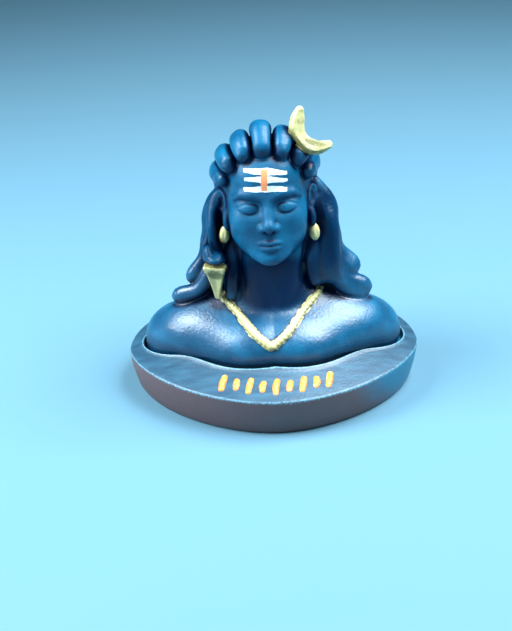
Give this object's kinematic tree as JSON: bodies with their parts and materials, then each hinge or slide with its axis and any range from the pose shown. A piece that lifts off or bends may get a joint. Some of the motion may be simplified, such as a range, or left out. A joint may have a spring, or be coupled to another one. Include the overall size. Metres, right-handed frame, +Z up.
{
  "type": "shiva bust figurine",
  "caption": "Small cast bust of Shiva with thick locks of hair, a crescent and a cobra, on a boat-shaped plinth; an ornament that stands on a dashboard or shelf.",
  "frame": {"origin": "middle of the plinth's underside, which stands on the floor", "axes": "+Z up, the face looks towards -Y, +X to the figure's left hand, the viewer's right"},
  "size_m": [0.1, 0.077, 0.0997],
  "materials": {
    "blue_paint": "satin deep blue paint with pale gold, white and orange details on cast polyresin"
  },
  "bodies": {
    "root": {"shiva_bust": "blue_paint"}
  },
  "joints": []
}
